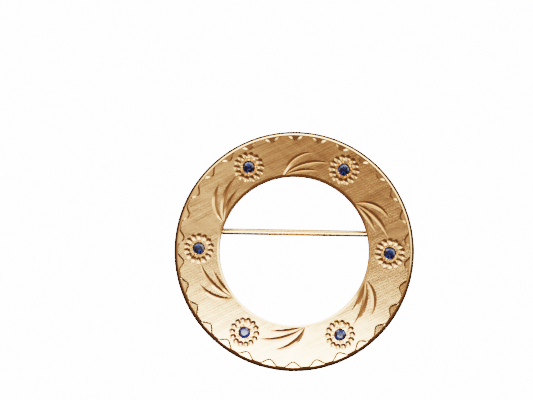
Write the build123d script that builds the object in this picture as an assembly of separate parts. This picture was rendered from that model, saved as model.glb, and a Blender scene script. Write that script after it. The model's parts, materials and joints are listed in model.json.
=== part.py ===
from build123d import *
import math
import os

# Lengths are millimetres and angles degrees. Clock angles run clockwise from +Y, the top of the brooch.

# Ring plate
outer_diameter = 32.0
hole_diameter = 19.74
plate_thickness = 1.3
hole_bevel_width = 0.38
hole_bevel_slopes = (32.0, 46.0)
step_wall_width = 0.1
rim_step = 0.32
rim_bevel_width = 0.2
rim_bevel_slopes = (35.0, 43.0)
rim_side_width = 0.3
rim_side_slopes = (50.0, 78.0)
back_chamfer = 0.12

# Scalloped border of the engraved face
scallop_count = 30
scallop_first_angle = -0.3
scallop_reach = 0.843
scallop_width = 2.9
scallop_wall_height = 0.18
scallop_floor_scale = (0.65, 0.71)
scallop_fall_angle = 9.0
scallop_drawn_points = 21

# Flowers, each round one stone
flower_count = 6
flower_first_angle = 30.5
flower_inset = 0.245
flower_diameter = 4.1
petal_count = 14
petal_length = 0.9
petal_width = 0.8
petal_depth = 0.2
petal_floor_share = 0.2

# Stones, round brilliants held by beads of metal
stone_diameter = 1.6
table_diameter = 0.9
crown_height = 0.24
girdle_height = 0.05
pavilion_angle = 41.0
table_above_face = 0.1
seat_gap = 0.03
light_hole_diameter = 0.84
bead_count = 4
bead_radius = 0.18
bead_past_stone = 0.105
bead_lift = 0.03
bead_turn = 62.0
star_slope_share = 0.62
upper_girdle_steeper = 6.0
lower_girdle_steeper = 1.5

# Leaf sprays, three engraved strokes to each flower
spray_lead_angle = 39.8
spray_start_inset = 0.2
stroke_half_angle = 58.0
stroke_run_out = 8.0
groove_height_share = 2.0
# name, angle of the tip before the flower, tip's place across the band, bow and depth as shares of the length
STROKES = [
    ("upper", 20.0, 0.568, 0.170, 0.046),
    ("middle", 9.0, 0.441, 0.125, 0.036),
    ("lower", 14.0, 0.200, 0.080, 0.044),
]

# Pin stem, its joint and the catch, all behind the plate
pin_offset = 2.6
pin_depth = 1.6
stem_diameter = 0.9
stem_tip_diameter = 0.1
stem_past_catch = 0.8
neck_diameter = 1.06
neck_length = 1.9
barrel_diameter = 1.7
barrel_width = 1.2
rivet_diameter = 0.8
rivet_head_diameter = 1.2
rivet_head_height = 0.2
barrel_running_gap = 0.04
rivet_ear_gap = 0.02
ear_side_gap = 0.1
ear_thickness = 0.5
ear_radius = 1.15
joint_base_length = 3.0
finding_base_thickness = 0.35
catch_width = 2.0
catch_play = 0.3
mouth_gap = 0.1
catch_foot_width = 1.4

# How far cutters run past the metal they cut, and how little the petals' cutters stand above the face
past_metal = 1.0
petal_cutter_lift = 0.01

# Worked out from the sizes above
outer_r = outer_diameter / 2
hole_r = hole_diameter / 2
face_r = outer_r - rim_bevel_width - rim_side_width
band = outer_r - hole_r
middle_r = (outer_r + hole_r) / 2
flower_r = middle_r - flower_inset
stone_r = stone_diameter / 2
table_r = table_diameter / 2
table_z = plate_thickness + table_above_face
girdle_top_z = table_z - crown_height
girdle_bottom_z = girdle_top_z - girdle_height
stem_r = stem_diameter / 2
ear_inner_y = barrel_width / 2 + ear_side_gap
ear_outer_y = ear_inner_y + ear_thickness
finding_x = math.sqrt(middle_r**2 - pin_offset**2)
hole_edge_x = math.sqrt(hole_r**2 - pin_offset**2)
rest_angle = math.degrees(
    math.atan2(pin_depth + ear_radius, outer_r - back_chamfer + pin_offset - ear_outer_y)
)
catch_bore_r = stem_r + catch_play
catch_outer_r = (
    (outer_r - back_chamfer + pin_offset) * math.sin(math.radians(rest_angle))
    - pin_depth * math.cos(math.radians(rest_angle))
)


def clock(angle, radius, z=0.0):
    """A point at a clock angle and a radius from the ring's centre."""
    return Vector(radius * math.sin(math.radians(angle)), radius * math.cos(math.radians(angle)), z)


def flower_angles():
    return [flower_first_angle + 360 / flower_count * k for k in range(flower_count)]


def flower_place(angle):
    """Where a flower stands: its own +Y points away from the ring's centre."""
    return Pos(clock(angle, flower_r)) * Rot(0, 0, -angle)


def turned(profile):
    """A solid of revolution about Z, from a face drawn in the XZ plane."""
    return revolve(profile, Axis.Z, 360)


def rounded_slope(start, width, slopes, way=1):
    """A gently rounded bevel that falls away from a point of a section; returns its arc and its lower end."""
    first, last = (math.radians(slope) for slope in slopes)
    end = (start[0] + way * width, start[1] - width * math.tan((first + last) / 2))
    return RadiusArc(start, end, way * width / (math.sin(last) - math.sin(first))), end


def plate_and_rim():
    """The flat band with its bevelled hole's edge, and the rounded rim, a step lower than the face."""
    with BuildSketch(Plane.XZ) as section:
        with BuildLine():
            face_start = (hole_r + hole_bevel_width, plate_thickness)
            hole_side = rounded_slope(face_start, hole_bevel_width, hole_bevel_slopes, -1)[1]
            rim_start = (face_r, plate_thickness - rim_step)
            bevel_end = rounded_slope(rim_start, rim_bevel_width, rim_bevel_slopes)[1]
            side_end = rounded_slope(bevel_end, rim_side_width, rim_side_slopes)[1]
            Polyline(
                side_end,
                (outer_r, back_chamfer),
                (outer_r - back_chamfer, 0),
                (hole_r + back_chamfer, 0),
                (hole_r, back_chamfer),
                hole_side,
            )
            Polyline(face_start, (face_r - step_wall_width, plate_thickness), rim_start)
        make_face()
    return turned(section.sketch)


def scallop_outline(shrink_x=1.0, shrink_y=1.0):
    """A bell-shaped arch that opens outwards, drawn from its tip and shrunk towards the rim."""
    open_y = scallop_reach + rim_bevel_width + rim_side_width + past_metal
    arch = []
    for k in range(scallop_drawn_points):
        across = k / (scallop_drawn_points - 1) - 0.5
        reach = scallop_reach * (0.5 - 0.5 * math.cos(2 * math.pi * across))
        arch.append((shrink_x * across * scallop_width, scallop_reach + shrink_y * (reach - scallop_reach)))
    with BuildSketch() as outline:
        with BuildLine():
            Spline(*arch)
            Polyline(arch[-1], (arch[-1][0], open_y), (arch[0][0], open_y), arch[0])
        make_face()
    return outline.sketch


def scallop_cutters():
    """Flat facets that fall outwards and run out at the rim, each inside a steep arched wall."""
    floor = Pos(0, 0, -scallop_wall_height) * scallop_outline(*scallop_floor_scale)
    cutter = loft([floor, scallop_outline()], ruled=True) + extrude(scallop_outline(), past_metal)
    start = Pos(0, face_r - scallop_reach, plate_thickness) * Rot(-scallop_fall_angle, 0, 0) * cutter
    return [Rot(0, 0, -scallop_first_angle - 360 / scallop_count * k) * start for k in range(scallop_count)]


def stroke_cutter(flower_angle, tip_lead, tip_share, bow_share, depth_share):
    """A V groove along an arc whose plane leans, so that it is deepest midway and runs out at both ends."""
    up = Vector(0, 0, 1)
    first = clock(flower_angle - spray_lead_angle, hole_r + spray_start_inset, plate_thickness)
    last = clock(flower_angle - tip_lead, hole_r + tip_share * band, plate_thickness)
    length = (last - first).length
    along = (last - first).normalized()
    outward = up.cross(along)
    bow = bow_share * length
    depth = depth_share * length
    rise = math.hypot(bow, depth)
    towards = (outward * bow - up * depth) / rise
    arc_r = length**2 / (8 * rise) + rise / 2
    middle = (first + last) / 2
    lowest = middle + towards * rise
    centre = lowest - towards * arc_r
    flank = groove_height_share * depth / math.cos(math.radians(stroke_half_angle))
    side = outward * math.sin(math.radians(stroke_half_angle))
    lift = up * math.cos(math.radians(stroke_half_angle))
    corners = (lowest, lowest + (lift + side) * flank, lowest + (lift - side) * flank)
    groove = make_face(Polyline(*corners, close=True))
    spine = Axis(centre, towards.cross(along))
    sweep = 2 * math.degrees(math.asin(length / 2 / arc_r)) + stroke_run_out
    return revolve(groove.faces()[0].rotate(spine, -sweep / 2), spine, sweep)


def petal_cutters():
    """Shallow dishes round the stone, each with a small flat floor; each runs into its neighbours."""
    flare = 1 + petal_cutter_lift / petal_depth * (1 - petal_floor_share)
    top = Pos(0, 0, petal_cutter_lift) * Ellipse(flare * petal_width / 2, flare * petal_length / 2)
    floor = Ellipse(petal_floor_share * petal_width / 2, petal_floor_share * petal_length / 2)
    dish = loft([Pos(0, 0, -petal_depth) * floor, top], ruled=True)
    start = Pos(0, (flower_diameter - petal_length) / 2, plate_thickness) * dish
    return [Rot(0, 0, 360 / petal_count * (k + 0.5)) * start for k in range(petal_count)]


def seat_cutter():
    """The stone's drilled seat: a round pocket, a cone under the pavilion and a hole through to the back."""
    seat_r = stone_r + seat_gap
    hole = light_hole_diameter / 2
    shelf_z = girdle_bottom_z - seat_gap
    cone_z = shelf_z - (seat_r - hole) * math.tan(math.radians(pavilion_angle))
    with BuildSketch(Plane.XZ) as section:
        with BuildLine():
            Polyline(
                (0, -past_metal),
                (hole, -past_metal),
                (hole, cone_z),
                (seat_r, shelf_z),
                (seat_r, plate_thickness + past_metal),
                (0, plate_thickness + past_metal),
                close=True,
            )
        make_face()
    return turned(section.sketch)


def beads():
    """Small beads raised from the plate round a stone's girdle."""
    bead = Pos(0, stone_r + bead_past_stone, plate_thickness + bead_lift) * Sphere(bead_radius)
    return [Rot(0, 0, bead_turn + 360 / bead_count * k) * bead for k in range(bead_count)]


def stone():
    """A round brilliant: a short cylinder cut by the planes of its facets."""
    crown_angle = math.degrees(math.atan2(crown_height, stone_r - table_r))
    lower_girdle_angle = pavilion_angle + lower_girdle_steeper
    half_turn = 180 / 8
    table_apothem = table_r * math.cos(math.radians(half_turn))
    depth = stone_r * math.tan(math.radians(pavilion_angle)) + girdle_height + crown_height
    gem = Pos(0, 0, table_z - depth / 2) * Cylinder(stone_r, depth)
    # facets, azimuth of the first, how many, slope, radius and height of a point on each, 1 up or -1 down
    facets = [
        ("mains", 0.0, 8, crown_angle, stone_r, girdle_top_z, 1),
        ("stars", half_turn, 8, star_slope_share * crown_angle, table_apothem, table_z, 1),
        ("upper girdle", half_turn / 2, 16, crown_angle + upper_girdle_steeper, stone_r, girdle_top_z, 1),
        ("pavilion mains", 0.0, 8, pavilion_angle, stone_r, girdle_bottom_z, -1),
        ("lower girdle", half_turn / 2, 16, lower_girdle_angle, stone_r, girdle_bottom_z, -1),
    ]
    for _, first, count, slope, radius, height, way in facets:
        for k in range(count):
            turn = math.radians(first + 360 / count * k)
            lean = math.radians(slope)
            out = Vector(math.cos(turn), math.sin(turn), 0)
            normal = out * math.sin(lean) + Vector(0, 0, way * math.cos(lean))
            cut = Plane(origin=out * radius + Vector(0, 0, height), z_dir=normal)
            gem = split(gem, bisect_by=cut, keep=Keep.BOTTOM)
    return gem


def finding_joint():
    """The joint soldered to the back: a base and two ears that carry the rivet."""
    base_y = 2 * ear_outer_y
    base = Pos(finding_x, pin_offset, -finding_base_thickness / 2) * Box(
        joint_base_length, base_y, finding_base_thickness
    )
    ear = Pos(0, 0, -pin_depth) * Rot(90, 0, 0) * Cylinder(ear_radius, ear_thickness)
    ear += Pos(0, 0, -pin_depth / 2) * Box(2 * ear_radius, ear_thickness, pin_depth)
    hole = Pos(finding_x, pin_offset, -pin_depth) * Rot(90, 0, 0) * Cylinder(
        rivet_diameter / 2 + rivet_ear_gap, 2 * base_y
    )
    ear_y = (ear_inner_y + ear_outer_y) / 2
    for way in (-1, 1):
        base += Pos(finding_x, pin_offset + way * ear_y, 0) * ear
    return base - hole


def finding_catch():
    """A plain C catch soldered to the back, its mouth turned away from the plate."""
    centre = Pos(-finding_x, pin_offset, -pin_depth)
    along = Rot(0, 90, 0)
    bore = centre * along * Cylinder(catch_bore_r, 2 * catch_width)
    mouth_half = stem_r + mouth_gap
    mouth = centre * Pos(0, 0, -catch_outer_r) * Box(2 * catch_width, 2 * mouth_half, 2 * catch_outer_r)
    catch = centre * along * Cylinder(catch_outer_r, catch_width)
    catch += Pos(-finding_x, pin_offset, -pin_depth / 2) * Box(catch_width, catch_foot_width, pin_depth)
    return catch - bore - mouth


def ring():
    """The engraved ring with its rim, beads, joint and catch, all one piece of soldered gold."""
    body = plate_and_rim() - scallop_cutters()
    flowers = []
    seats = []
    strokes = []
    for angle in flower_angles():
        place = flower_place(angle)
        flowers += [place * drop for drop in petal_cutters()]
        seats.append(place * seat_cutter())
        strokes += [stroke_cutter(angle, *row[1:]) for row in STROKES]
    body = body - strokes
    body = body - flowers
    body = body - seats
    for angle in flower_angles():
        body += [flower_place(angle) * bead for bead in beads()]
    return body + finding_joint() + finding_catch()


def pin_stem():
    """The stem: a barrel on the rivet, a neck, a round shaft and a long point that lies in the catch."""
    axis = Pos(finding_x, pin_offset, -pin_depth)
    shaft_start = neck_length
    shaft_end = finding_x + hole_edge_x
    point_end = 2 * finding_x + catch_width / 2 + stem_past_catch
    with BuildSketch(Plane.XY) as section:
        with BuildLine():
            Polyline(
                (0, 0),
                (0, neck_diameter / 2),
                (-barrel_diameter / 2, neck_diameter / 2),
                (-shaft_start, stem_r),
                (-shaft_end, stem_r),
                (-point_end, stem_tip_diameter / 2),
                (-point_end, 0),
                close=True,
            )
        make_face()
    wire = revolve(section.sketch, Axis.X, 360)
    barrel = Rot(90, 0, 0) * Cylinder(barrel_diameter / 2, barrel_width)
    bore = Rot(90, 0, 0) * Cylinder(rivet_diameter / 2 + barrel_running_gap, 2 * barrel_width)
    return axis * (wire + barrel - bore)


def hinge_rivet():
    """The rivet, headed over on the outside of both ears."""
    head_y = ear_outer_y + rivet_ear_gap
    shank = Cylinder(rivet_diameter / 2, 2 * (head_y + rivet_head_height / 2))
    head = Cylinder(rivet_head_diameter / 2, rivet_head_height)
    head = chamfer(head.faces().sort_by(Axis.Z)[-1].edges(), rivet_head_height / 2)
    upper = Pos(0, 0, head_y + rivet_head_height / 2) * head
    rivet = shank + upper + Rot(180, 0, 0) * upper
    return Pos(finding_x, pin_offset, -pin_depth) * Rot(90, 0, 0) * rivet


def at_rest(pieces):
    """Lays the brooch on its joint, its catch and the rim's lower edge, centred on the origin."""
    laid = {name: Rot(rest_angle, 0, 0) * piece for name, piece in pieces.items()}
    box = laid["ring"].bounding_box()
    shift = Pos(-(box.min.X + box.max.X) / 2, -(box.min.Y + box.max.Y) / 2, -box.min.Z)
    return {name: shift * piece for name, piece in laid.items()}


flat = {"ring": ring(), "pin_stem": pin_stem(), "hinge_rivet": hinge_rivet()}
gem = stone()
for number, angle in enumerate(flower_angles(), start=1):
    flat[f"sapphire_{number}"] = flower_place(angle) * gem

os.makedirs("parts", exist_ok=True)
for name, piece in at_rest(flat).items():
    export_step(piece, f"parts/{name}.step")
    box = piece.bounding_box()
    print(name, round(piece.volume, 3), box.min, box.max)
print("rest angle", round(rest_angle, 3), "catch outer radius", round(catch_outer_r, 3))
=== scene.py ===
import json
import math

import bpy
from mathutils import Matrix, Vector


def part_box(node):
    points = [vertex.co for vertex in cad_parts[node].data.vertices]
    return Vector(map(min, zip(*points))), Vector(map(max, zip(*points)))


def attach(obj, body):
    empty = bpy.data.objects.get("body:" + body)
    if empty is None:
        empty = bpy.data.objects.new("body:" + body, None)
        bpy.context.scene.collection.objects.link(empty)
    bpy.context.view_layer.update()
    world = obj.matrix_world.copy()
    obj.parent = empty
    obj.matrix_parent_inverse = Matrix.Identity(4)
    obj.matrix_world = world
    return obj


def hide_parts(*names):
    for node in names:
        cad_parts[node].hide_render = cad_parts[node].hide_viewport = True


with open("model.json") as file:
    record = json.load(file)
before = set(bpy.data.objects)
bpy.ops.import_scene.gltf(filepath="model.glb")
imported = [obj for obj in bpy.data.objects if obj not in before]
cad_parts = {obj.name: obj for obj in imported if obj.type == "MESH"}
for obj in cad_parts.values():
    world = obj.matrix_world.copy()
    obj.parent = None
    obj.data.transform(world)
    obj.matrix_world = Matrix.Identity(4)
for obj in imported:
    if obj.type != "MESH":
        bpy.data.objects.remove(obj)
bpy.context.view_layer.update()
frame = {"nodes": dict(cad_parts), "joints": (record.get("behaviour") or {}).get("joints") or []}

# The ring, a flat open circle sawn from a plate of fourteen carat gold. The edge of its hole is a polished
# bevel, and its outer edge a polished rounded rim, a step below the engraved face. The metal pieces are made
# flat on the bench, in millimetres, and laid down at rest in metres once they are finished.
MM = 0.001
ring_low, ring_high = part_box("ring")
outer_r = (ring_high.x - ring_low.x) / 2 / MM
hole_r = 9.87
plate_t = 1.3
hole_bevel = 0.38
rim_w = 0.5
rim_step = 0.32
rim_bright = 0.2
step_wall = 0.1
back_break = 0.12
face_r = outer_r - rim_w
rim_top = plate_t - rim_step
turn_steps = 240
same_place = 1e-4
# the part of a circle that each rounded edge takes, in degrees from +X, and the steps it is drawn in
BEVEL_TURN = (122, 136, 4)
BRIGHT_TURN = (55, 47, 3)
RIM_TURN = (40, 12, 5)

hinge = frame["joints"][0]
lean = math.atan2(-hinge["axis"][2], -hinge["axis"][1])
pin_y = 2.6
pin_z = -1.6
finding_x = hinge["pos_m"][0] / MM
flat_to_rest = Matrix.Rotation(lean, 4, "X") @ Matrix.Scale(MM, 4)
flat_to_rest.translation = Vector(hinge["pos_m"]) - flat_to_rest @ Vector((finding_x, pin_y, pin_z))


def pick(*things):
    """Leaves only these objects selected, the first of them active."""
    if bpy.context.object and bpy.context.object.mode != "OBJECT":
        bpy.ops.object.mode_set(mode="OBJECT")
    bpy.ops.object.select_all(action="DESELECT")
    for thing in things:
        thing.select_set(True)
    bpy.context.view_layer.objects.active = things[0] if things else None


def edit(thing, select="SELECT"):
    """Opens a piece in edit mode, all of it selected or none."""
    pick(thing)
    bpy.ops.object.mode_set(mode="EDIT")
    bpy.ops.mesh.select_all(action=select)


def applied(thing):
    """Puts a piece's place and turn into its mesh."""
    pick(thing)
    bpy.ops.object.transform_apply(location=True, rotation=True, scale=True)
    return thing


def tidy_shell(thing):
    """Merges what lies in one place, drops stray edges and turns every face outwards."""
    edit(thing)
    bpy.ops.mesh.remove_doubles(threshold=same_place)
    bpy.ops.mesh.delete_loose()
    bpy.ops.mesh.select_all(action="SELECT")
    bpy.ops.mesh.normals_make_consistent(inside=False)
    bpy.ops.object.mode_set(mode="OBJECT")


def drawn_line(name, points):
    """A line drawn point by point in edit mode, closed onto its first point."""
    pick()
    bpy.ops.mesh.primitive_plane_add(size=1, location=points[0])
    line = bpy.context.object
    line.name = name
    bpy.ops.object.mode_set(mode="EDIT")
    bpy.ops.mesh.merge(type="CENTER")
    for start, end in zip(points, points[1:] + points[:1]):
        bpy.ops.mesh.extrude_vertices_move(TRANSFORM_OT_translate={"value": Vector(end) - Vector(start)})
    bpy.ops.mesh.select_all(action="SELECT")
    bpy.ops.mesh.remove_doubles(threshold=same_place)
    return applied(line)


def spun(line, steps, angle=2 * math.pi, centre=(0, 0, 0), axis=(0, 0, 1)):
    """Turns a closed line into a solid; a part turn gets its two ends filled."""
    edit(line)
    bpy.ops.mesh.spin(steps=steps, angle=angle, center=centre, axis=axis)
    bpy.ops.mesh.select_all(action="SELECT")
    bpy.ops.mesh.remove_doubles(threshold=same_place)
    bpy.ops.mesh.fill_holes(sides=0)
    tidy_shell(line)
    return line


def arc_points(centre, radius, first, last, count):
    """Points of an arc in the XZ plane, by its first and last angle in degrees from +X."""
    angles = [math.radians(first + (last - first) * k / count) for k in range(count + 1)]
    return [(centre[0] + radius * math.cos(a), 0, centre[1] + radius * math.sin(a)) for a in angles]


def rounded_edge(start, last_x, turn):
    """An arc in the XZ plane that runs from a point to a distance from the middle."""
    first = math.radians(turn[0])
    last = math.radians(turn[1])
    radius = (last_x - start[0]) / (math.cos(last) - math.cos(first))
    centre = (start[0] - radius * math.cos(first), start[1] - radius * math.sin(first))
    return arc_points(centre, radius, *turn)


hole_edge = rounded_edge((hole_r + hole_bevel, plate_t), hole_r, BEVEL_TURN)
bright_edge = rounded_edge((face_r, rim_top), face_r + rim_bright, BRIGHT_TURN)
bright_x, _, bright_z = bright_edge[-1]
rim_edge = rounded_edge((bright_x, bright_z), outer_r, RIM_TURN)
section = hole_edge[::-1] + [(face_r - step_wall, 0, plate_t)] + bright_edge + rim_edge[1:]
section += [(outer_r, 0, back_break), (outer_r - back_break, 0, 0)]
section += [(hole_r + back_break, 0, 0), (hole_r, 0, back_break)]
ring = spun(drawn_line("engraved_ring", section), turn_steps)


def copied_round(thing, count, first=0.0):
    """Copies of a piece at even steps round +Z, joined in one mesh; first is a clock angle in degrees."""
    applied(thing)
    copies = []
    for k in range(count):
        pick(thing)
        bpy.ops.object.duplicate()
        copies.append(bpy.context.object)
        bpy.context.object.rotation_euler.z = -math.radians(first + 360 / count * k)
    bpy.data.objects.remove(thing)
    pick(*copies)
    bpy.ops.object.transform_apply(location=True, rotation=True, scale=True)
    bpy.ops.object.join()
    return bpy.context.object


def boolean(body, tool, operation="DIFFERENCE"):
    """Cuts a tool out of a body, or with UNION solders the tool on; the tool is used up."""
    pick(body)
    bpy.ops.object.modifier_add(type="BOOLEAN")
    step = body.modifiers[-1]
    step.operation = operation
    step.solver = "EXACT"
    step.object = tool
    bpy.ops.object.modifier_apply(modifier=step.name)
    bpy.data.objects.remove(tool)
    return body


# The scalloped border, thirty bright cuts that leave a row of arches along the rim. Each is a flat facet that
# falls outwards and runs out at the rim, inside a thin steep wall with a rounded tip.
scallops = 30
scallop_first = -0.3
scallop_reach = 0.78
scallop_w = 2.9
scallop_steps = 20
cutter_clear = 0.4
scallop_end = scallop_reach + rim_w + cutter_clear
wall_h = 0.18
facet_share = (0.65, 0.71, 1)
facet_pivot = (0, scallop_reach + 0.05, 0)
facet_fall = math.radians(9)
scallop_line = []
for k in range(scallop_steps + 1):
    across = k / scallop_steps - 0.5
    scallop_line.append((across * scallop_w, scallop_reach * (0.5 - 0.5 * math.cos(2 * math.pi * across)), 0))
scallop_line += [(scallop_w / 2, scallop_end, 0), (-scallop_w / 2, scallop_end, 0)]
scallop = drawn_line("scallop", scallop_line)
edit(scallop)
bpy.ops.mesh.edge_face_add()
for height in (cutter_clear, wall_h):
    bpy.ops.mesh.extrude_region_move(TRANSFORM_OT_translate={"value": (0, 0, -height)})
bpy.ops.transform.resize(value=facet_share, center_override=facet_pivot)
tidy_shell(scallop)
scallop.rotation_euler.x = -facet_fall
applied(scallop)
# the wall starts in the plate's face at the scallop's tip
wall_tip = min(scallop.data.vertices, key=lambda v: (round(v.co.y, 3), v.co.z)).co
scallop.location = (0, face_r - scallop_reach, plate_t - wall_tip.z)
boolean(ring, copied_round(scallop, scallops, scallop_first))

# Leaf sprays, three long V cuts to each flower, all starting at one point on the hole's edge. Each is cut
# along a bowed line, deepest midway, so that it swells and runs out to a point at both ends.
band_w = outer_r - hole_r
flower_inset = 0.245
flower_r = (outer_r + hole_r) / 2 - flower_inset
flower_first = 30.5
flower_count = 6
spray_lead = 39.8
spray_inset = 0.2
flank_slope = math.radians(32)
flank_height = 2
stroke_run_out = math.radians(8)
stroke_steps = 28
# angle of the tip before the flower, its place across the band, bow and depth as shares of the cut's length
STROKES = [
    (20.0, 0.568, 0.170, 0.046),
    (9.0, 0.441, 0.125, 0.036),
    (14.0, 0.200, 0.080, 0.044),
]


def on_clock(angle, radius, height):
    """A point by its clock angle in degrees, its distance from the middle and its height."""
    turn = math.radians(angle)
    return Vector((radius * math.sin(turn), radius * math.cos(turn), height))


up = Vector((0, 0, 1))
for tip_lead, tip_share, bow_share, deep_share in STROKES:
    first = on_clock(-spray_lead, hole_r + spray_inset, plate_t)
    last = on_clock(-tip_lead, hole_r + tip_share * band_w, plate_t)
    length = (last - first).length
    along = (last - first).normalized()
    outward = up.cross(along)
    bow = bow_share * length
    deep = deep_share * length
    rise = math.hypot(bow, deep)
    towards = (outward * bow - up * deep) / rise
    arc_r = length**2 / (8 * rise) + rise / 2
    lowest = (first + last) / 2 + towards * rise
    centre = lowest - towards * arc_r
    spine = towards.cross(along)
    sweep = 2 * math.asin(length / 2 / arc_r) + stroke_run_out
    corners = [lowest]
    for side in (1, -1):
        corners.append(lowest + (up + outward * side / math.tan(flank_slope)) * flank_height * deep)
    to_end = Matrix.Rotation(sweep / 2, 3, spine)
    corners = [centre + to_end @ (corner - centre) for corner in corners]
    groove = spun(drawn_line("stroke", corners), stroke_steps, sweep, centre, spine)
    boolean(ring, copied_round(groove, flower_count, flower_first))

# Flowers, six rosettes of fourteen petals. Each petal is one push of a round-nosed graver, a shallow dish
# with straight walls and a small flat floor, and it runs a little into its neighbours. Small pits are dug
# beside the beads.
petal_count = 14
flower_w = 4.1
petal_long = 0.9
petal_w = 0.8
petal_deep = 0.2
petal_nose = 0.08
petal_sides = 21
petal_top = 0.007
pit_r = 0.13
pit_place = (0, 1.02, plate_t + 0.01)
pit_count = 8
pit_first = 6.0


def round_flower(thing, count, first, name):
    """Copies of a cut round one flower, then the same round all six flowers."""
    rosette = copied_round(thing, count, first)
    rosette.name = name
    rosette.location.y = flower_r
    return copied_round(rosette, flower_count, flower_first)


pick()
bpy.ops.mesh.primitive_uv_sphere_add(segments=16, ring_count=10, radius=pit_r, location=pit_place)
boolean(ring, round_flower(bpy.context.object, pit_count, pit_first, "pits"))

petal_top_r = petal_w / 2 * (1 + petal_top / petal_deep)
petal_line = [(0, -petal_deep), (petal_nose, -petal_deep), (petal_top_r, petal_top), (0, petal_top)]
petal = spun(drawn_line("petal", [(x, 0, z) for x, z in petal_line]), petal_sides)
petal.scale.y = petal_long / petal_w
petal.location = (0, (flower_w - petal_long) / 2, plate_t)
pick(petal)
bpy.ops.object.duplicate()
# every second petal, and then those between, so that the cutters of one set stay clear of each other
petal_turn = 360 / petal_count
for cut, first in ((petal, petal_turn / 2), (bpy.context.object, petal_turn * 1.5)):
    boolean(ring, round_flower(cut, petal_count // 2, first, "petals"))

# Seats and beads. Each stone drops into a drilled seat with a hole through to the back for light, and four
# beads of metal, raised from the plate beside it, are pushed over its edge.
stone_r = 0.8
stone_play = 0.03
seat_r = stone_r + stone_play
seat_turn = 2.0
seat_slope = math.radians(41)
seat_sides = 48
light_r = 0.42
shelf_z = plate_t - 0.22
cone_z = shelf_z - (seat_r - light_r) * math.tan(seat_slope)
drill_low = -1
drill_high = 2 * plate_t
bead_count = 4
bead_r = 0.18
bead_turn = 62.0
bead_place = (0, stone_r + 0.105, plate_t + 0.03)
seat_line = [(0, drill_low), (light_r, drill_low), (light_r, cone_z), (seat_r, shelf_z), (seat_r, drill_high),
             (0, drill_high)]
seat = spun(drawn_line("seat", [(x, 0, z) for x, z in seat_line]), seat_sides)
boolean(ring, round_flower(seat, 1, seat_turn, "seats"))
pick()
bpy.ops.mesh.primitive_uv_sphere_add(segments=20, ring_count=12, radius=bead_r, location=bead_place)
boolean(ring, round_flower(bpy.context.object, bead_count, -bead_turn, "beads"), "UNION")

# The joint and the catch, cut from gold sheet and soldered to the plain back. The joint's base carries two
# ears, and the catch is a C of wire-thick sheet with its mouth turned away from the plate. The brooch rests
# on both and on the rim's lower edge, which sets how far the catch stands out.
ear_r = 1.15
ear_t = 0.5
ear_inner = 0.7
ear_outer = ear_inner + ear_t
ear_steps = 24
base_long = 3.0
base_t = 0.35
base_margin = 0.06
base_y = pin_y - ear_outer - base_margin
into_plate = 0.06
edge_break = 0.05
rivet_r = 0.4
ear_bore_r = rivet_r + 0.02
drill_long = 4
across_stem = (math.pi / 2, 0, 0)
catch_w = 2.0
catch_bore = 0.75
mouth_half = 0.55
foot_half = 0.7
catch_out = (outer_r - back_break + pin_y) * math.sin(lean) + pin_z * math.cos(lean)


def sheet_piece(name, outline, thickness):
    """A flat piece sawn to an outline and bevelled along its sharp edges."""
    piece = drawn_line(name, outline)
    edit(piece)
    bpy.ops.mesh.edge_face_add()
    bpy.ops.mesh.extrude_region_move(TRANSFORM_OT_translate={"value": thickness})
    tidy_shell(piece)
    pick(piece)
    bpy.ops.object.modifier_add(type="BEVEL")
    step = piece.modifiers[-1]
    step.width = edge_break
    step.segments = 3
    step.limit_method = "ANGLE"
    bpy.ops.object.modifier_apply(modifier=step.name)
    return piece


half_base = base_long / 2
base_outline = []
for x, z in ((-half_base, into_plate), (half_base, into_plate), (half_base, -base_t), (-half_base, -base_t)):
    base_outline.append((finding_x + x, base_y, z))
base = sheet_piece("joint_base", base_outline, (0, 2 * (ear_outer + base_margin), 0))
for y in (pin_y - ear_outer, pin_y + ear_inner):
    ear_outline = [(x, y, z) for x, _, z in arc_points((finding_x, pin_z), ear_r, 180, 360, ear_steps)]
    ear_outline += [(finding_x + ear_r, y, -base_t / 2), (finding_x - ear_r, y, -base_t / 2)]
    boolean(base, sheet_piece("ear", ear_outline, (0, ear_t, 0)), "UNION")
pick()
bpy.ops.mesh.primitive_cylinder_add(vertices=48, radius=ear_bore_r, depth=drill_long, rotation=across_stem,
                                    location=(finding_x, pin_y, pin_z))
boolean(base, bpy.context.object)
boolean(ring, base, "UNION")

mouth_out = math.degrees(math.asin(mouth_half / catch_out))
mouth_in = math.degrees(math.asin(mouth_half / catch_bore))
foot_at = math.degrees(math.acos(foot_half / catch_out))
catch_x = -finding_x - catch_w / 2
c_line = [(-foot_half, into_plate)]
for radius, first, last, count in ((catch_out, 180 - foot_at, 270 - mouth_out, 16),
                                   (catch_bore, 270 - mouth_in, mouth_in - 90, 28),
                                   (catch_out, mouth_out - 90, foot_at, 16)):
    c_line += [(y, z + pin_z) for y, _, z in arc_points((0, 0), radius, first, last, count)]
c_line.append((foot_half, into_plate))
catch_outline = [(catch_x, pin_y + y, z) for y, z in c_line]
boolean(ring, sheet_piece("catch", catch_outline, (catch_w, 0, 0)), "UNION")


# Gold, three finishes of one alloy. The flat face is cross-hatched with a many-lined graver, every cut into
# it is bright, and the rim, the back and the findings are polished and lightly worn.
GOLD = (0.93, 0.54, 0.275, 1)
# the dark gold put into corners and recesses, partly patina and partly painted shade
PATINA_AND_SHADE_GOLD = (0.20, 0.075, 0.022, 1)
FLOAT = "NodeSocketFloat"
COLOUR = "NodeSocketColor"
# each set of hatching by its angle in degrees, its pitch in millimetres and its weight
HATCHING = [(26, 0.34, 1.0), (-38, 0.27, 0.45)]
# each direction of scratches by its turn in radians and how fine it is
SCRATCHING = [(0.4, 1.0), (1.9, 1.3), (2.7, 0.8)]


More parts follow.
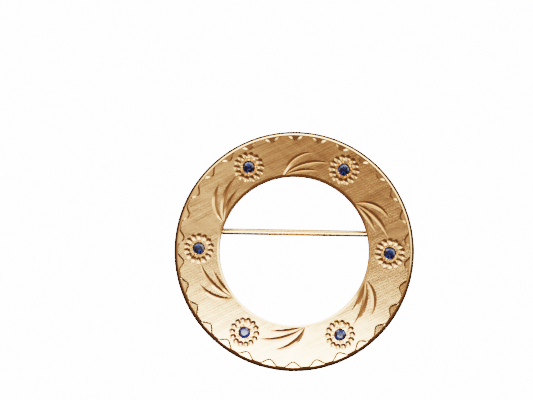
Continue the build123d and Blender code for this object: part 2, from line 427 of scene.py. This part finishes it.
def node(tree, kind, sockets=None, **settings):
    """Adds a shader node; a socket gets a value or the output that feeds it."""
    made = tree.nodes.new("ShaderNode" + kind)
    for name, value in settings.items():
        setattr(made, name, value)
    for key, value in (sockets or {}).items():
        if isinstance(value, bpy.types.NodeSocket):
            tree.links.new(value, made.inputs[key])
        else:
            made.inputs[key].default_value = value
    return made


def math_node(tree, operation, *values):
    """The result of a sum on numbers or outputs."""
    return node(tree, "Math", dict(enumerate(values)), operation=operation).outputs[0]


def vector_math(tree, operation, first, second, output):
    """The same for two directions or places."""
    return node(tree, "VectorMath", {0: first, 1: second}, operation=operation).outputs[output]


def mottle(tree, place, scale, detail, distortion=0.0):
    """Uneven patches, by how many there are to a millimetre and how fine their detail is."""
    sockets = {"Vector": place, "Scale": scale, "Detail": detail, "Distortion": distortion}
    return node(tree, "TexNoise", sockets).outputs["Fac"]


def spread(tree, value, first, last, low=0.0, high=1.0):
    """A value between first and last, spread out from low to high and held there past its ends."""
    sockets = {"Value": value, "From Min": first, "From Max": last, "To Min": low, "To Max": high}
    return node(tree, "MapRange", sockets).outputs[0]


def blended(tree, share, first, second, how="MIX"):
    """Two colours blended by a share."""
    return node(tree, "Mix", {0: share, 6: first, 7: second}, data_type="RGBA", blend_type=how).outputs[2]


def bench_place(tree):
    """Where a point was while the ring lay flat on the bench, in millimetres."""
    place = {"Vector": node(tree, "TexCoord").outputs["Object"]}
    place.update({"Location": flat_to_rest.translation, "Rotation": (lean, 0, 0), "Scale": (MM, MM, MM)})
    return node(tree, "Mapping", place, vector_type="TEXTURE").outputs[0]


def effect(name, inputs, outputs):
    """An empty shader effect with its named sockets."""
    tree = bpy.data.node_groups.new(name, "ShaderNodeTree")
    for label, kind, value in inputs:
        tree.interface.new_socket(label, in_out="INPUT", socket_type=kind).default_value = value
    for label, kind in outputs:
        tree.interface.new_socket(label, in_out="OUTPUT", socket_type=kind)
    return tree, tree.nodes.new("NodeGroupInput").outputs, tree.nodes.new("NodeGroupOutput").inputs


# metal colour that darkens in corners and recesses as ambient occlusion finds them: partly patina and dirt
# where polish and wear never reach, partly painted shade for the light those hollows miss
patina_and_shade_sockets = [("Clean", COLOUR, GOLD), ("Deep", COLOUR, PATINA_AND_SHADE_GOLD)]
patina_and_shade_sockets += [("Reach mm", FLOAT, 0.25), ("Strength", FLOAT, 0.8)]
patina_and_shade, given, result = effect("patina_and_painted_shade", patina_and_shade_sockets, [("Color", COLOUR)])
flat_place = bench_place(patina_and_shade)
reach = math_node(patina_and_shade, "MULTIPLY", given["Reach mm"], MM)
open_sky = node(patina_and_shade, "AmbientOcclusion", {"Distance": reach}, samples=6, only_local=True).outputs["AO"]
shut_in = spread(patina_and_shade, open_sky, 0.75, 0.15)
patchy = spread(patina_and_shade, mottle(patina_and_shade, flat_place, 1.7, 3.0), 0.3, 0.7, 0.6)
patina_and_shade_mask = math_node(patina_and_shade, "MULTIPLY", math_node(patina_and_shade, "MULTIPLY", shut_in, patchy), given["Strength"])
mixed = blended(patina_and_shade, patina_and_shade_mask, given["Clean"], given["Deep"])
cloud = spread(patina_and_shade, mottle(patina_and_shade, flat_place, 0.35, 2.0), 0.3, 0.7, 0.94, 1.03)
patina_and_shade.links.new(blended(patina_and_shade, 1.0, mixed, cloud, "MULTIPLY"), result["Color"])

# hairline scratches in a few directions, and the slightly uneven shine of a hand-polished surface
worn, given, result = effect("hand_polish", [("Shine", FLOAT, 0.1), ("Scratches", FLOAT, 0.3)],
                             [("Roughness", FLOAT), ("Height", FLOAT)])
scratch_long, scratch_fine = 0.5, 14.0
scratch_dulling = 0.12
scratch_mm = 0.004
flat_place = bench_place(worn)
marks = None
for turn, fine in SCRATCHING:
    turned = node(worn, "VectorRotate", {"Vector": flat_place, "Angle": turn}, rotation_type="Z_AXIS")
    thin = vector_math(worn, "MULTIPLY", turned.outputs[0], (scratch_long, scratch_fine * fine, 1.0), 0)
    line = spread(worn, mottle(worn, thin, 1.0, 2.0, 0.2), 0.62, 0.75)
    marks = line if marks is None else math_node(worn, "MAXIMUM", marks, line)
marks = math_node(worn, "MULTIPLY", marks, given["Scratches"])
uneven = spread(worn, mottle(worn, flat_place, 0.9, 3.0), 0.3, 0.7, 0.75, 1.3)
shine = math_node(worn, "MULTIPLY", given["Shine"], uneven)
dulled = math_node(worn, "MULTIPLY", marks, scratch_dulling)
worn.links.new(math_node(worn, "ADD", shine, dulled), result["Roughness"])
worn.links.new(math_node(worn, "MULTIPLY", marks, -1.0), result["Height"])


def gold_with_patina_and_shade(name, reach, strength):
    """A gold with patina and painted shade in its corners; returns the material, its shader and that colour.
    """
    made = bpy.data.materials.new(name)
    made.use_nodes = True
    tree = made.node_tree
    metal = tree.nodes["Principled BSDF"]
    metal.inputs["Metallic"].default_value = 1.0
    sockets = {"Clean": GOLD, "Deep": PATINA_AND_SHADE_GOLD, "Reach mm": reach, "Strength": strength}
    tint = node(tree, "Group", sockets, node_tree=patina_and_shade).outputs["Color"]
    tree.links.new(tint, metal.inputs["Base Color"])
    return made, metal, tint


def hand_polished(name, shine, scratches, reach, strength):
    """The same gold, with its patina and painted shade, polished by hand and worn to hairline scratches."""
    made, metal, _ = gold_with_patina_and_shade(name, reach, strength)
    tree = made.node_tree
    polish = node(tree, "Group", {"Shine": shine, "Scratches": scratches}, node_tree=worn).outputs
    bump = node(tree, "Bump", {"Height": polish["Height"], "Distance": scratch_mm * MM})
    tree.links.new(polish["Roughness"], metal.inputs["Roughness"])
    tree.links.new(bump.outputs[0], metal.inputs["Normal"])
    return made


# the face: lines that drift and are pressed unevenly, each set with wide streaks along it; both are painted
# into the colour, as painted shade in the grooves and painted sheen on the ridges and streaks, over a very
# faint bump
hatched_shine = 0.11
hatch_mm = 0.0003
hatch_painted_shade = 0.15
hatch_wander = 9.0
streak_long = 0.12
hatched_gold, metal, tint = gold_with_patina_and_shade("florentine_gold", reach=0.2, strength=0.3)
tree = hatched_gold.node_tree
metal.inputs["Roughness"].default_value = hatched_shine
flat_place = bench_place(tree)
hatch = None
streak_sheen = None
for angle, pitch, weight in HATCHING:
    turn = math.radians(angle)
    side = vector_math(tree, "DOT_PRODUCT", flat_place, (-math.sin(turn), math.cos(turn), 0), "Value")
    down = vector_math(tree, "DOT_PRODUCT", flat_place, (math.cos(turn), math.sin(turn), 0), "Value")
    strip = node(tree, "CombineXYZ", {0: math_node(tree, "MULTIPLY", down, streak_long), 1: side}).outputs[0]
    drift = math_node(tree, "MULTIPLY", mottle(tree, strip, 1.1, 2.0), hatch_wander)
    press = spread(tree, mottle(tree, strip, 3.1, 2.0), 0.35, 0.65, 0.3)
    wave = math_node(tree, "SINE", math_node(tree, "MULTIPLY_ADD", side, 2 * math.pi / pitch, drift))
    lines = math_node(tree, "MULTIPLY", wave, math_node(tree, "MULTIPLY", press, weight))
    wide = math_node(tree, "MULTIPLY", mottle(tree, strip, 1.6, 1.0), weight)
    hatch = lines if hatch is None else math_node(tree, "ADD", hatch, lines)
    streak_sheen = wide if streak_sheen is None else math_node(tree, "ADD", streak_sheen, wide)
bump = node(tree, "Bump", {"Height": hatch, "Distance": hatch_mm * MM})
tree.links.new(bump.outputs[0], metal.inputs["Normal"])
streak_sheen = spread(tree, streak_sheen, 0.53, 0.92, 0.74, 1.16)
# the colour darkened along the grooves and lightened along the ridges and streaks: painted shade and sheen
# for the hatching
shaded = math_node(tree, "MULTIPLY_ADD", hatch, hatch_painted_shade, streak_sheen)
tree.links.new(blended(tree, 1.0, tint, shaded, "MULTIPLY"), metal.inputs["Base Color"])

# the bright cuts get the deepest painted shade and patina in their recesses, the polished gold a lighter one
bright_gold = hand_polished("bright_cut_gold", shine=0.12, scratches=0.1, reach=0.3, strength=0.85)
polished_gold = hand_polished("polished_gold", shine=0.1, scratches=0.4, reach=0.3, strength=0.6)

# what tells the face and the cuts from the rest: how level the face is, how far the hole's bevel looks
# inwards, how low the cuts go, and the play of the tests
level = 0.9999
bevel_inward = -0.4
cuts_above = 0.5
face_play = 0.001
edge_play = 0.01


def zone(thing, number, test):
    """Gives the faces that pass a test one of the piece's finishes, with a crisp edge round them."""
    edit(thing, "DESELECT")
    bpy.ops.mesh.select_mode(type="FACE")
    bpy.ops.object.mode_set(mode="OBJECT")
    for face in thing.data.polygons:
        face.select = test(face)
    bpy.ops.object.mode_set(mode="EDIT")
    thing.active_material_index = number
    bpy.ops.object.material_slot_assign()
    bpy.ops.mesh.region_to_loop()
    bpy.ops.mesh.mark_sharp()
    bpy.ops.mesh.select_mode(type="VERT")
    bpy.ops.object.mode_set(mode="OBJECT")


def is_face(face):
    """The flat hatched face, outside the hole's bevel."""
    out = math.hypot(face.center.x, face.center.y)
    on_top = face.normal.z > level and abs(face.center.z - plate_t) < face_play
    return on_top and out > hole_r + hole_bevel - edge_play


def is_cut(face):
    """Whatever the gravers left: it lies inside the rim, above the light holes, and isn't the flat face."""
    out = math.hypot(face.center.x, face.center.y)
    radial = (face.normal.x * face.center.x + face.normal.y * face.center.y) / out
    on_bevel = out < hole_r + hole_bevel and radial < bevel_inward
    return face.center.z > cuts_above and out < face_r + edge_play and not is_face(face) and not on_bevel


def laid_down(thing, smooth=26):
    """Lays a finished piece at rest with the ring, in metres, its object left at the origin."""
    tidy_shell(thing)
    thing.data.transform(flat_to_rest)
    pick(thing)
    bpy.ops.object.shade_smooth_by_angle(angle=math.radians(smooth), keep_sharp_edges=True)
    bpy.ops.object.modifier_add(type="WEIGHTED_NORMAL")
    step = thing.modifiers[-1]
    step.keep_sharp = True
    bpy.ops.object.modifier_apply(modifier=step.name)
    return thing


tidy_shell(ring)
for gold in (polished_gold, hatched_gold, bright_gold):
    ring.data.materials.append(gold)
zone(ring, 1, is_face)
zone(ring, 2, is_cut)
laid_down(ring)
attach(ring, "brooch")
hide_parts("ring")

# The pin, a hard-drawn gold wire with a long stoned point. Its other end swells through a short neck into a
# barrel, bored for the rivet.
neck_r = 0.53
stem_r = 0.45
barrel_r = 0.85
barrel_w = 1.2
barrel_break = 0.08
barrel_bore_r = rivet_r + 0.04
hole_edge_x = math.sqrt(hole_r**2 - pin_y**2)
point_x = 2 * finding_x + catch_w / 2 + 0.8
point_from = finding_x + hole_edge_x
point_steps = 10
point_curve = 1.35
tip_r = 0.05
wire_sides = 48
barrel_sides = 72
# distance from the rivet and half thickness, along the neck and the stem and round the very tip
NECK = [(0, neck_r), (barrel_r, neck_r), (1.1, 0.522), (1.35, 0.5), (1.6, 0.472), (1.9, stem_r)]
TIP = [(point_x - 0.015, 0.035), (point_x, 0), (0, 0)]
pin_line = NECK + [(point_from, stem_r)]
for k in range(1, point_steps + 1):
    run = k / point_steps
    point_r = tip_r + (stem_r - tip_r) * (1 - run**point_curve)
    pin_line.append((point_from + run * (point_x - tip_r - point_from), point_r))
pin_line += TIP
stem = spun(drawn_line("pin_wire", [(-x, 0, z) for x, z in pin_line]), wire_sides, axis=(1, 0, 0))
pick()
bpy.ops.mesh.primitive_cylinder_add(vertices=barrel_sides, radius=barrel_r, depth=barrel_w,
                                    rotation=across_stem)
barrel = applied(bpy.context.object)
bpy.ops.object.modifier_add(type="BEVEL")
rounding = barrel.modifiers[-1]
rounding.width = barrel_break
rounding.segments = 3
bpy.ops.object.modifier_apply(modifier=rounding.name)
boolean(stem, barrel, "UNION")
pick()
bpy.ops.mesh.primitive_cylinder_add(vertices=barrel_sides, radius=barrel_bore_r, depth=drill_long,
                                    rotation=across_stem)
boolean(stem, applied(bpy.context.object))
stem.location = (finding_x, pin_y, pin_z)
applied(stem)
wire_gold = hand_polished("drawn_gold_wire", shine=0.28, scratches=0.5, reach=0.3, strength=0.5)
stem.data.materials.append(wire_gold)
laid_down(stem)
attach(stem, "pin")
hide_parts("pin_stem")

# The rivet, a gold wire through both ears and the barrel, headed over at both ends with a small hammer. Its
# heads are low domes that lie on the ears.
head_r = 0.6
head_h = 0.2
head_y = ear_outer + 0.02
# half width and height of a head, from the top of its dome down to the shank
HEAD = [(0, head_h), (0.2, head_h), (0.42, 0.16), (0.55, 0.09), (head_r, 0.02), (head_r - 0.02, 0)]
rivet_line = [(r, -head_y - h) for r, h in HEAD + [(rivet_r, 0)]]
rivet_line += [(r, -y) for r, y in reversed(rivet_line)]
rivet = spun(drawn_line("rivet", [(x, y, 0) for x, y in rivet_line]), wire_sides, axis=(0, 1, 0))
rivet.location = (finding_x, pin_y, pin_z)
applied(rivet)
rivet_gold = hand_polished("rivet_gold", shine=0.16, scratches=0.6, reach=0.2, strength=0.5)
rivet.data.materials.append(rivet_gold)
laid_down(rivet)
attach(rivet, "brooch")
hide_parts("hinge_rivet")

# The six sapphires, small brilliants of a deep blue, carried over as they were cut. Their colour is a little
# uneven, as in the real stones, and their facets carry a trace of polishing marks.
DARK_BLUE = (0.0015, 0.004, 0.014, 1)
DEEP_BLUE = (0.003, 0.009, 0.038, 1)
sapphire = bpy.data.materials.new("sapphire_blue")
sapphire.use_nodes = True
tree = sapphire.node_tree
glassy = tree.nodes["Principled BSDF"]
glassy.inputs["IOR"].default_value = 1.77
glassy.inputs["Transmission Weight"].default_value = 1.0
zoning = spread(tree, mottle(tree, bench_place(tree), 1.3, 2.0), 0.35, 0.65)
polish = node(tree, "Group", {"Shine": 0.03, "Scratches": 0.1}, node_tree=worn)
tree.links.new(blended(tree, zoning, DARK_BLUE, DEEP_BLUE), glassy.inputs["Base Color"])
tree.links.new(polish.outputs["Roughness"], glassy.inputs["Roughness"])
for name in sorted(frame["nodes"]):
    if name.startswith("sapphire"):
        frame["nodes"][name].data.materials.clear()
        frame["nodes"][name].data.materials.append(sapphire)

# The floor, a plain pale table that fills the view. The camera sees it evenly white, as in the photo, and it
# throws hardly any light up at the metal.
floor_glow = 9.0
pick()
bpy.ops.mesh.primitive_plane_add(size=3)
floor = bpy.context.object
floor.name = "floor"
paper = bpy.data.materials.new("pale_paper")
paper.use_nodes = True
tree = paper.node_tree
unseen = tree.nodes["Principled BSDF"]
unseen.inputs["Base Color"].default_value = (0.02, 0.015, 0.012, 1)
unseen.inputs["Roughness"].default_value = 0.9
glow = node(tree, "Emission", {"Color": (1, 1, 1, 1), "Strength": floor_glow})
seen = node(tree, "LightPath").outputs["Is Camera Ray"]
surface = node(tree, "MixShader", {0: seen, 1: unseen.outputs[0], 2: glow.outputs[0]})
tree.links.new(surface.outputs[0], tree.nodes["Material Output"].inputs["Surface"])
floor.data.materials.append(paper)

# The studio: one large soft light above and in front, a small dim card beside it, a low reflector behind the
# brooch, a white wall behind that, and a dim warm room all round.
softbox_h = 0.36
softbox_near, softbox_far = -0.0588, -0.285
softbox_w = 0.2
softbox_turn = Matrix.Rotation(math.radians(-3), 3, "Z")
softbox_middle = softbox_turn @ Vector((0, (softbox_far - softbox_near) / 2, 0))
softbox_place = softbox_middle + Vector((0, softbox_near, softbox_h))
softbox_light = 9.5
card_place = (-0.045, -0.012, softbox_h + 0.002)
card_w = 0.07
card_light = 0.35
reflector_place = (-0.01, 0.04, 0.049)
reflector_w, reflector_h = 0.09, 0.036
reflector_light = 3


def soft_light(place, turn, wide, high, brightness):
    """A flat soft light that the camera doesn't see, as bright all over as is said, whatever its size."""
    pick()
    bpy.ops.object.light_add(type="AREA", location=place, rotation=turn)
    light = bpy.context.object
    light.data.shape = "RECTANGLE"
    light.data.size = wide
    light.data.size_y = high
    light.data.energy = brightness * math.pi * wide * high
    light.visible_camera = False


soft_light(softbox_place, softbox_turn.to_euler(), softbox_w, softbox_near - softbox_far, softbox_light)
soft_light(card_place, (0, 0, 0), card_w, card_w, card_light)
soft_light(reflector_place, (-math.pi / 2, 0, 0), reflector_w, reflector_h, reflector_light)

room = bpy.data.worlds.new("room")
bpy.context.scene.world = room
room.use_nodes = True
tree = room.node_tree
seen_at = node(tree, "SeparateXYZ", {0: node(tree, "TexCoord").outputs["Generated"]}).outputs
compass = math_node(tree, "ARCTAN2", seen_at["X"], seen_at["Y"])
height = math_node(tree, "ARCSINE", seen_at["Z"])
room_full = 8.0
backdrop_full = 9.0
# dim walls are warm and bright ones nearly white
dim_wall, bright_wall = 0.6, 2.0
WARM = Vector((1, 0.78, 0.64))
WHITE = Vector((1, 0.98, 0.94))
LOWER_WALLS = [(-180, 0.14), (-120, 0.17), (-98, 0.6), (-60, 0.9), (-30, 4.5), (0, 6), (45, 4), (92, 2.6),
               (104, 0.5), (120, 0.2), (180, 0.14)]
UPPER_WALLS = [(-180, 0.10), (-110, 0.12), (-84, 0.2), (-66, 0.45), (0, 0.45), (45, 1.0), (96, 1.6),
               (108, 0.3), (120, 0.15), (180, 0.10)]
CEILING = [(-180, 0.3), (-135, 0.9), (-90, 1.1), (-45, 0.35), (0, 0.13), (45, 0.22), (90, 0.5), (135, 0.5),
           (180, 0.3)]
OVERHEAD = Vector((0.36, 0.27, 0.21))
SKIRTING = Vector((0.15, 0.1, 0.07))


def round_room(stops):
    """The room's light round the compass, by degrees clockwise from the back wall and brightness."""
    ramp = node(tree, "ValToRGB", {"Fac": math_node(tree, "MULTIPLY_ADD", compass, 0.5 / math.pi, 0.5)})
    marks = ramp.color_ramp.elements
    while len(marks) < len(stops):
        marks.new(0.5)
    for mark, (degrees, light) in zip(marks, stops):
        white = min(max((light - dim_wall) / (bright_wall - dim_wall), 0), 1)
        mark.position = degrees / 360 + 0.5
        mark.color = (*(WARM.lerp(WHITE, white) * light / room_full), 1)
    return ramp.outputs["Color"]


# each layer of the room passes into the one above it between two heights in degrees
room_light = (*(SKIRTING / room_full), 1)
for layer, first, last in ((round_room(LOWER_WALLS), 7, 12), (round_room(UPPER_WALLS), 23, 28),
                           (round_room(CEILING), 60, 68), ((*(OVERHEAD / room_full), 1), 78, 84)):
    raised = spread(tree, height, math.radians(first), math.radians(last))
    room_light = blended(tree, raised, room_light, layer)
unseen = node(tree, "Background", {"Color": room_light, "Strength": room_full})
plain = node(tree, "Background", {"Color": (1, 1, 1, 1), "Strength": backdrop_full})
seen = node(tree, "LightPath").outputs["Is Camera Ray"]
surface = node(tree, "MixShader", {0: seen, 1: unseen.outputs[0], 2: plain.outputs[0]})
tree.links.new(surface.outputs[0], tree.nodes["World Output"].inputs["Surface"])

# The camera, a long lens high in front of the brooch, turned a degree about its own axis. It stands 0.4 m
# from the middle of the ring, which it sees a little below and right of the middle of its view.
view_height = math.radians(77.0)
view_turn = math.radians(1.0)
view_far = 400
pixels_per_mm = 7.53
image_w = 533
off_middle = Vector((27.8, -50.8, 0))
ring_middle = flat_to_rest @ Vector((0, 0, plate_t))
middle_in_view = off_middle / pixels_per_mm - Vector((0, 0, view_far))
pick()
bpy.ops.object.camera_add()
camera = bpy.context.object
camera.matrix_world = Matrix.Rotation(math.pi / 2 - view_height, 4, "X") @ Matrix.Rotation(view_turn, 4, "Z")
camera.location = ring_middle - camera.matrix_world.to_3x3() @ middle_in_view * MM
camera.data.lens = pixels_per_mm * view_far * camera.data.sensor_width / image_w
camera.data.clip_start = 0.01
bpy.context.scene.camera = camera
bpy.context.scene.view_settings.view_transform = "Filmic"
bpy.context.scene.view_settings.look = "High Contrast"
